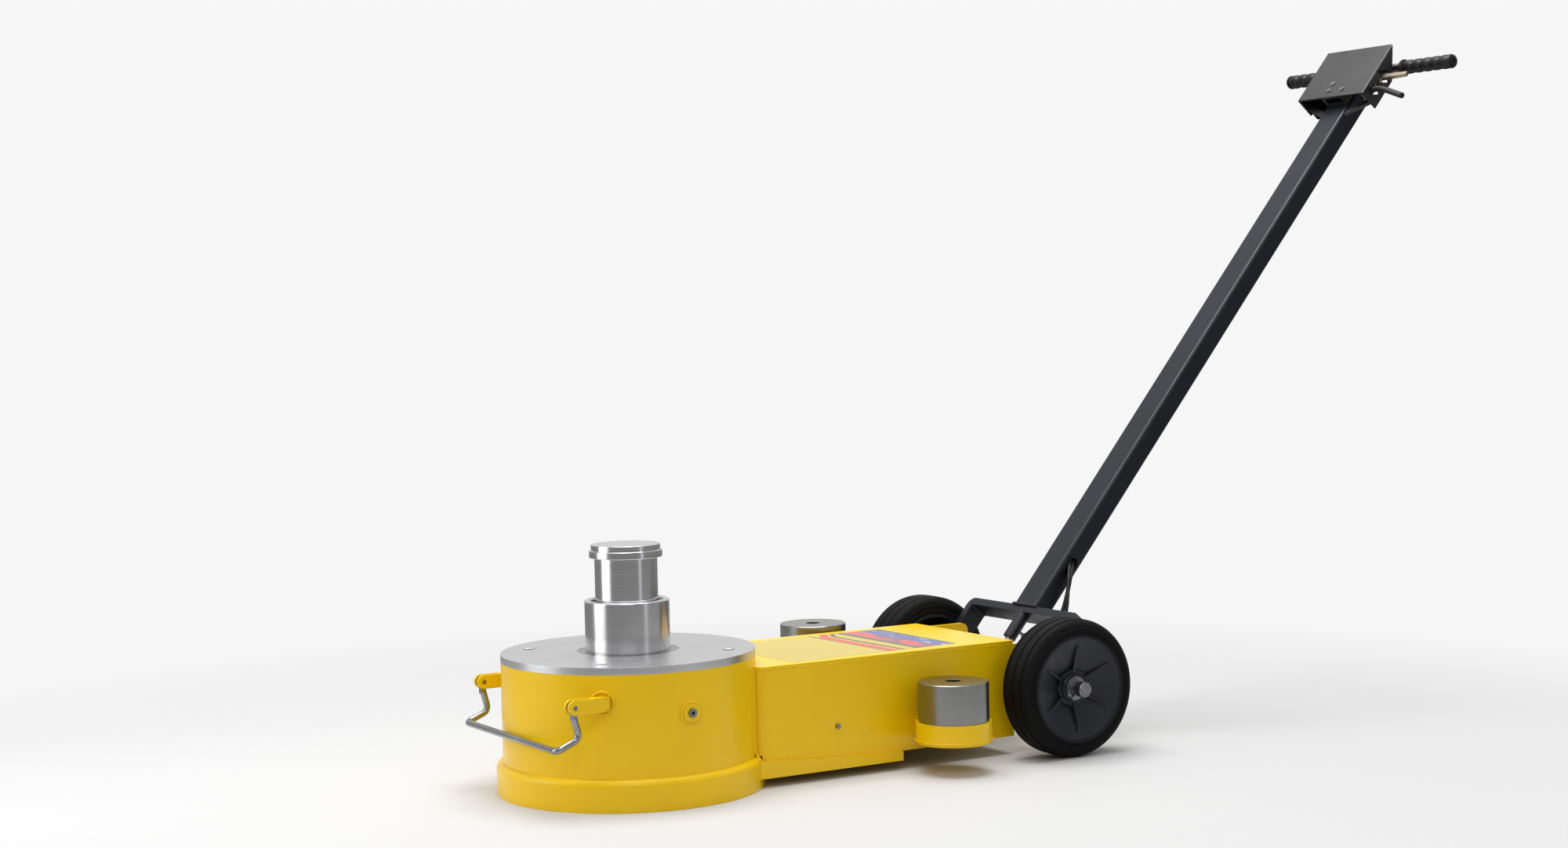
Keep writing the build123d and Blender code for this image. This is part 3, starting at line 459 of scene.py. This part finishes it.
def prism(low, high):
    """Vertices and faces of a solid between two outlines with equally many points."""
    count = len(low)
    faces = [tuple(range(count - 1, -1, -1)), tuple(range(count, 2 * count))]
    faces += [(k, (k + 1) % count, count + (k + 1) % count, count + k) for k in range(count)]
    return low + high, faces


def lathe(name, outline, segments, origin, axis, **kept):
    """Closed solid of revolution: outline of (radius, distance along axis) from origin, closed on itself."""
    axis, side, other = across(axis)
    vertices = []
    for k in range(segments):
        angle = 2 * math.pi * k / segments
        spoke = side * math.cos(angle) + other * math.sin(angle)
        vertices += [Vector(origin) + axis * h + spoke * r for r, h in outline]
    count = len(outline)
    faces = []
    for k in range(segments):
        here, there = k * count, ((k + 1) % segments) * count
        for i in range(count):
            j = (i + 1) % count
            faces.append((here + i, here + j, there + j, there + i))
    return new_piece(name, vertices, faces, **kept)


def sweep(path, radii, sides):
    """Vertices and faces of a closed-ended tube along points, with a radius at each."""
    vertices, faces = [], []
    before = None
    for k, point in enumerate(path):
        ahead = (path[min(k + 1, len(path) - 1)] - path[max(k - 1, 0)]).normalized()
        if before is None:
            before = ahead.orthogonal().normalized()
        before = (before - ahead * before.dot(ahead)).normalized()
        other = ahead.cross(before)
        for s in range(sides):
            angle = 2 * math.pi * s / sides
            vertices.append(point + (before * math.cos(angle) + other * math.sin(angle)) * radii[k])
    for k in range(len(path) - 1):
        for s in range(sides):
            t = (s + 1) % sides
            a, b = k * sides, (k + 1) * sides
            faces.append((a + s, a + t, b + t, b + s))
    last = (len(path) - 1) * sides
    faces.append(tuple(range(sides - 1, -1, -1)))
    faces.append(tuple(range(last, last + sides)))
    return vertices, faces


def resample(points, step):
    """Points at even steps along straight runs."""
    made = [points[0].copy()]
    for a, b in zip(points, points[1:]):
        count = max(1, round((b - a).length / step))
        made += [a.lerp(b, (k + 1) / count) for k in range(count)]
    return made


def weld(name, points, radius, finish, body, slot):
    """Weld bead along points: overlapping scales that swell and sink a little."""
    path = resample([Vector(p) for p in points], 0.0008)
    radii = []
    for k in range(len(path)):
        scale = abs(math.sin(k * 0.62)) ** 0.6
        drift = 0.10 * math.sin(k * 0.113) + 0.06 * math.sin(k * 0.271)
        radii.append(radius * (0.84 + 0.20 * scale + drift))
    radii[0] = radii[-1] = radius * 0.45
    vertices, faces = sweep(path, radii, 8)
    return new_piece(name, vertices, faces, finish, body, slot, 60.0)


def circle(centre, radius, axis, count):
    """Points all the way round an axis, the last on the first."""
    _, side, other = across(axis)
    made = []
    for k in range(count + 1):
        angle = math.radians(360.0 * k / count)
        made.append(Vector(centre) + (side * math.cos(angle) + other * math.sin(angle)) * radius)
    return made


# ---- pieces --------------------------------------------------------------------------

def tyres(finishes):
    """Solid tyres: crowned tread with three grooves, rounded shoulders, and rings moulded in the walls."""
    mid = (TYRE_IN + TYRE_OUT) / 2
    half = (TYRE_OUT - TYRE_IN) / 2
    shoulder, face = 0.0125, half - 0.0012
    grooves = [TYRE_IN + 0.0145 + 0.0175 * k - mid for k in range(3)]
    groove_w, groove_d = 0.0011, 0.0018

    def wall(sign):
        """Side wall from the bead to the shoulder."""
        made = []
        steps = 22
        for k in range(steps + 1):
            r = RIM_R + 0.0035 + (WHEEL_R - shoulder - RIM_R - 0.0035) * k / steps
            ridge = 0.0007 * max(0.0, math.sin(2 * math.pi * 2.5 * k / steps)) ** 2
            made.append((r, sign * (face + ridge)))
        return made

    def tread(h):
        """Radius of the tread at a distance from the tyre's middle, with the grooves cut in it."""
        over = min(1.0, max(0.0, abs(h) - face + shoulder) / shoulder)
        crown = WHEEL_R - 0.0004 - 0.7 * h * h - shoulder * (1 - math.sqrt(1 - over * over))
        near = min(abs(h - g) for g in grooves)
        return crown - groove_d * min(1.0, max(0.0, (groove_w + 0.0004 - near) / 0.0005))

    stations = [face * math.sin(math.radians(a)) for a in range(-87, 88, 3)]
    stations = [h for h in stations if min(abs(h - g) for g in grooves) > 0.0019]
    steps = (-0.0017, -0.0014, -0.0010, 0.0, 0.0010, 0.0014, 0.0017)
    stations += [groove + step for groove in grooves for step in steps]
    outline = [(BEAD_R + 0.0003, -half + 0.0004), (RIM_R + 0.0012, -half), (RIM_R + 0.0030, -half + 0.0004)]
    outline += wall(-1) + [(tread(h), h) for h in sorted(stations)] + wall(1)[::-1]
    outline += [(RIM_R + 0.0030, half - 0.0004), (RIM_R + 0.0012, half), (BEAD_R + 0.0003, half - 0.0004)]
    for name, side in SIDES:
        turned = outline if side > 0 else [(r, -h) for r, h in outline][::-1]
        piece = lathe("tyre_tread_" + name, turned, 128, AXLE + Vector((0, side * mid, 0)), (0, 1, 0),
                      finish=finishes["tyre"], body="wheel_" + name, slot="tyre", smooth=50.0)
        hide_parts("tyre_" + name)


def grips(finishes):
    """Rubber grips with finger ridges, a flange at the inner end and a rounded closed end."""
    length = GRIP_OUT - GRIP_IN
    flange = 0.0035
    count = 60
    outline = [(BAR_R + 0.0002, 0.0), (GRIP_R + 0.0012, 0.0), (GRIP_R + 0.0018, 0.0007),
               (GRIP_R + 0.0018, flange - 0.0008), (GRIP_R + 0.0010, flange),
               (GRIP_R - 0.0010, flange + 0.0012)]
    start, end = flange + 0.002, length - 0.007
    for k in range(count + 1):
        t = k / count
        finger = abs(math.sin(math.pi * 5 * t)) ** 0.55
        outline.append((GRIP_R - 0.0021 + 0.0021 * finger, start + (end - start) * t))
    for k in range(7):
        angle = math.radians(90 * k / 6)
        outline.append((GRIP_R - 0.0055 + 0.0055 * math.cos(angle), end + 0.0012 + 0.0056 * math.sin(angle)))
    outline += [(0.0035, length - 0.0002), (0.0032, length - 0.0010), (0.0003, length - 0.0012),
                (0.0003, length - 0.0036), (BAR_R + 0.0002, length - 0.0037)]
    for name, side in SIDES:
        inner_end = handle_point(BAR_U, side * GRIP_IN, BAR_N)
        piece = lathe("grip_sleeve_" + name, outline, 48, inner_end, (0, side, 0), finish=finishes["rubber"],
                      body="handle", slot="rubber", smooth=50.0)
        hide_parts("grip_" + name)


def hose(name, node, upper, lower, radius, finishes):
    """Hose on a smooth line through the tube, out of its side and into the box."""
    curve = bpy.data.curves.new(name + "_route", "CURVE")
    curve.dimensions = "3D"
    points = [handle_point(*p) for p in upper] + [Vector(p) for p in lower]
    spline = curve.splines.new("NURBS")
    spline.points.add(len(points) - 1)
    for point, place in zip(spline.points, points):
        point.co = (*place, 1.0)
    spline.order_u = 3
    spline.use_endpoint_u = True
    curve.resolution_u = 14
    curve.bevel_depth = radius
    curve.bevel_resolution = 5
    curve.use_fill_caps = True
    route = bpy.data.objects.new(name + "_route", curve)
    bpy.context.scene.collection.objects.link(route)
    bpy.context.view_layer.update()
    mesh = bpy.data.meshes.new_from_object(route.evaluated_get(bpy.context.evaluated_depsgraph_get()))
    bpy.data.objects.remove(route)
    mesh.materials.clear()
    mesh.materials.append(finishes["hose"])
    mesh.shade_smooth()
    piece = bpy.data.objects.new(name, mesh)
    bpy.context.scene.collection.objects.link(piece)
    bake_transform(piece)
    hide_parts(node)


def decal(finishes):
    """Thin printed panel on the box top, with rounded corners."""
    middle = (PANEL_FRONT + PANEL_REAR) / 2
    corners = ((PANEL_REAR, PANEL_FAR, 0), (PANEL_FRONT, PANEL_FAR, 90),
               (PANEL_FRONT, PANEL_NEAR_FRONT, 180), (PANEL_REAR, PANEL_NEAR_REAR, 270))
    outline = []
    for x, y, start in corners:
        inner_x = x - math.copysign(PANEL_CORNER, x - middle)
        inner_y = y - math.copysign(PANEL_CORNER, y)
        for k in range(7):
            angle = math.radians(start + 90 * k / 6)
            outline.append((inner_x + PANEL_CORNER * math.cos(angle),
                            inner_y + PANEL_CORNER * math.sin(angle)))
    low = [(x, y, BOX_TOP + PANEL_UNDER) for x, y in outline]
    high = [(x, y, BOX_TOP + PANEL_THICK) for x, y in outline]
    new_piece("decal_box_top", *prism(low, high), finishes["box_decal"], "chassis", None, 30.0)


def head_panel(finishes):
    """Folded sheet that closes the back and the far side of the head, beside the tube."""
    low_u, high_u, back, front, thick = 1.129, 1.196, -0.012, 0.034, 0.0015
    inner, outer = TUBE_W / 2 + 0.0008, 0.0715
    section = [(inner, back), (outer, back), (outer, front), (outer - thick, front),
               (outer - thick, back + thick), (inner, back + thick)]
    low = [handle_point(low_u, y, n) for y, n in section]
    high = [handle_point(high_u, y, n) for y, n in section]
    new_piece("head_back_panel", *prism(low, high), finishes["navy_paint"], "handle", "navy_paint", 30.0)


def welds(finishes):
    """Weld beads where the plates, lugs, cups and tube meet."""
    yellow, navy = finishes["yellow_paint"], finishes["navy_paint"]

    def on_chassis(name, points, radius):
        weld("weld_" + name, points, radius, yellow, "chassis", "yellow_paint")

    for name, side in SIDES:
        ear_y = side * (BOX_HALF + 0.0003) - side * 0.006
        on_chassis("ear_" + name, [(BOX_REAR, ear_y, z) for z in (0.052, 0.156)], 0.0022)
        top_y = side * (BOX_HALF - 0.0008)
        on_chassis("top_seam_" + name, [(x, top_y, 0.1602) for x in (0.20, 0.556)], 0.0011)
        cup = (CUP_X, side * CUP_Y, 0.0468)
        on_chassis("cup_" + name, circle(cup, CUP_R + 0.0002, (0, 0, 1), 36), 0.0012)
        root = Vector((LUG_ROOT + 0.0065, side * 0.1365, LUG_Z))
        on_chassis("lug_" + name, circle(root, 0.0150, (root.x, root.y, 0), 40), 0.0022)
        # filled seam where the box meets the drum, with no scales
        seam = [(x, side * y, z) for x, y, z in SEAM]
        path = resample([Vector(p) for p in seam], 0.004)
        vertices, faces = sweep(path, [0.0021] * len(path), 10)
        new_piece("seam_" + name, vertices, faces, yellow, "chassis", "yellow_paint", 60.0)
    on_chassis("plug", circle(PLUG + Vector((0, -0.0006, 0)), 0.0142, (0, 1, 0), 40), 0.0020)
    turns = ((-1, -1), (1, -1), (1, 1), (-1, 1), (-1, -1))
    corners = [(s * TUBE_W / 2, t * TUBE_D / 2) for s, t in turns]
    foot = [handle_point(TUBE_FOOT + 0.0006, y, n) for y, n in corners]
    weld("weld_tube_foot", foot, 0.0026, navy, "handle", "navy_paint")


# ---- set: camera, lights, floor --------------------------------------------------------

def camera():
    """Camera at the picture's viewpoint."""
    heading = Vector((math.cos(CAM_AZIMUTH), math.sin(CAM_AZIMUTH), 0))
    level = math.cos(CAM_PITCH)
    forward = Vector((-math.sin(CAM_AZIMUTH) * level, math.cos(CAM_AZIMUTH) * level, -math.sin(CAM_PITCH)))
    rise = heading.cross(forward)
    right = heading * math.cos(CAM_ROLL) + rise * math.sin(CAM_ROLL)
    up = rise * math.cos(CAM_ROLL) - heading * math.sin(CAM_ROLL)
    data = bpy.data.cameras.new("camera")
    data.lens = CAM_LENS
    data.sensor_width = SENSOR
    data.clip_start = 0.02
    data.clip_end = 200.0
    item = bpy.data.objects.new("camera", data)
    item.matrix_world = Matrix((right, up, -forward)).transposed().to_4x4()
    item.location = CAM_AT
    bpy.context.scene.collection.objects.link(item)
    bpy.context.scene.camera = item


def softbox(name, at, aim, width, height, power):
    """Rectangular light turned to a point."""
    data = bpy.data.lights.new(name, "AREA")
    data.shape = "RECTANGLE"
    data.size = width
    data.size_y = height
    data.energy = power
    item = bpy.data.objects.new(name, data)
    item.location = at
    item.rotation_euler = (Vector(aim) - Vector(at)).to_track_quat("-Z", "Y").to_euler()
    bpy.context.scene.collection.objects.link(item)


def surround():
    """Studio surround: pale overhead and behind, grey elsewhere, and even where it is seen directly."""
    world = bpy.data.worlds.new("studio")
    bpy.context.scene.world = world
    world.use_nodes = True
    tree = world.node_tree
    coords = tree.nodes.new("ShaderNodeTexCoord")
    overhead = ((0, 0, 1), 0.06, 0.70, ROOM_HIGH)
    behind = ((0.5, 0.84, 0.2), 0.15, 0.75, ROOM_BACK)
    ramps = []
    for axis, low, high, level in (overhead, behind):
        facing = tree.nodes.new("ShaderNodeVectorMath")
        facing.operation = "DOT_PRODUCT"
        facing.inputs[1].default_value = axis
        tree.links.new(coords.outputs["Generated"], facing.inputs[0])
        ramp = tree.nodes.new("ShaderNodeMapRange")
        for socket, value in zip(ramp.inputs[1:5], (low, high, ROOM_LOW, level)):
            socket.default_value = value
        tree.links.new(facing.outputs["Value"], ramp.inputs[0])
        ramps.append(ramp.outputs[0])
    brighter = tree.nodes.new("ShaderNodeMath")
    brighter.operation = "MAXIMUM"
    for socket, ramp in zip(brighter.inputs, ramps):
        tree.links.new(ramp, socket)
    seen = tree.nodes.new("ShaderNodeLightPath")
    pick = tree.nodes.new("ShaderNodeMix")
    pick.data_type = "RGBA"
    pick.inputs[7].default_value = BACKDROP
    tree.links.new(seen.outputs["Is Camera Ray"], pick.inputs["Factor"])
    tree.links.new(brighter.outputs[0], pick.inputs[6])
    tree.links.new(pick.outputs[2], tree.nodes["Background"].inputs["Color"])


def floor():
    """Pale studio floor that fades into the surround far from the object, grey there in reflections."""
    places = [FLOOR_REACH * (2 * i / FLOOR_CELLS - 1) for i in range(FLOOR_CELLS + 1)]
    vertices = [(x, y, 0.0) for y in places for x in places]
    row = FLOOR_CELLS + 1
    faces = [(j * row + i, j * row + i + 1, (j + 1) * row + i + 1, (j + 1) * row + i)
             for j in range(FLOOR_CELLS) for i in range(FLOOR_CELLS)]
    f = Finish("floor_paper", 0.75, Specular_IOR_Level=0.1)
    p = f.place()
    f.set("Base Color", f.mix(f.noise(p, 420.0, 3.0, 0.8), (0.50, 0.50, 0.50), (0.59, 0.59, 0.59)))
    x, y, _ = f.split(f.place(FLOOR_MIDDLE))
    away = f.distance(x, y)
    light = f.node("Emission")
    seen = f.node("LightPath").outputs["Is Camera Ray"]
    put(f.tree, light.inputs["Color"], f.mix(seen, (ROOM_LOW, ROOM_LOW, ROOM_LOW), BACKDROP[:3]))
    blend = f.node("MixShader")
    put(f.tree, blend.inputs[0], f.span(away, FADE_FROM, FADE_TO))
    put(f.tree, blend.inputs[1], f.shader.outputs[0])
    put(f.tree, blend.inputs[2], light.outputs[0])
    f.tree.links.new(blend.outputs[0], f.tree.nodes["Material Output"].inputs["Surface"])
    new_piece("studio_floor", vertices, faces, f.material)


def main():
    bpy.context.scene.view_settings.view_transform = "Standard"
    camera()
    surround()
    floor()
    for light in LIGHTS:
        softbox(*light)
    finishes = build_finishes()
    dress_cad(finishes)
    hose("air_line", "air_hose", AIR_UPPER, AIR_LOWER, AIR_HOSE_R, finishes)
    hose("pilot_line", "pilot_hose", PILOT_UPPER, PILOT_LOWER, PILOT_HOSE_R, finishes)
    tyres(finishes)
    grips(finishes)
    decal(finishes)
    head_panel(finishes)
    welds(finishes)


main()
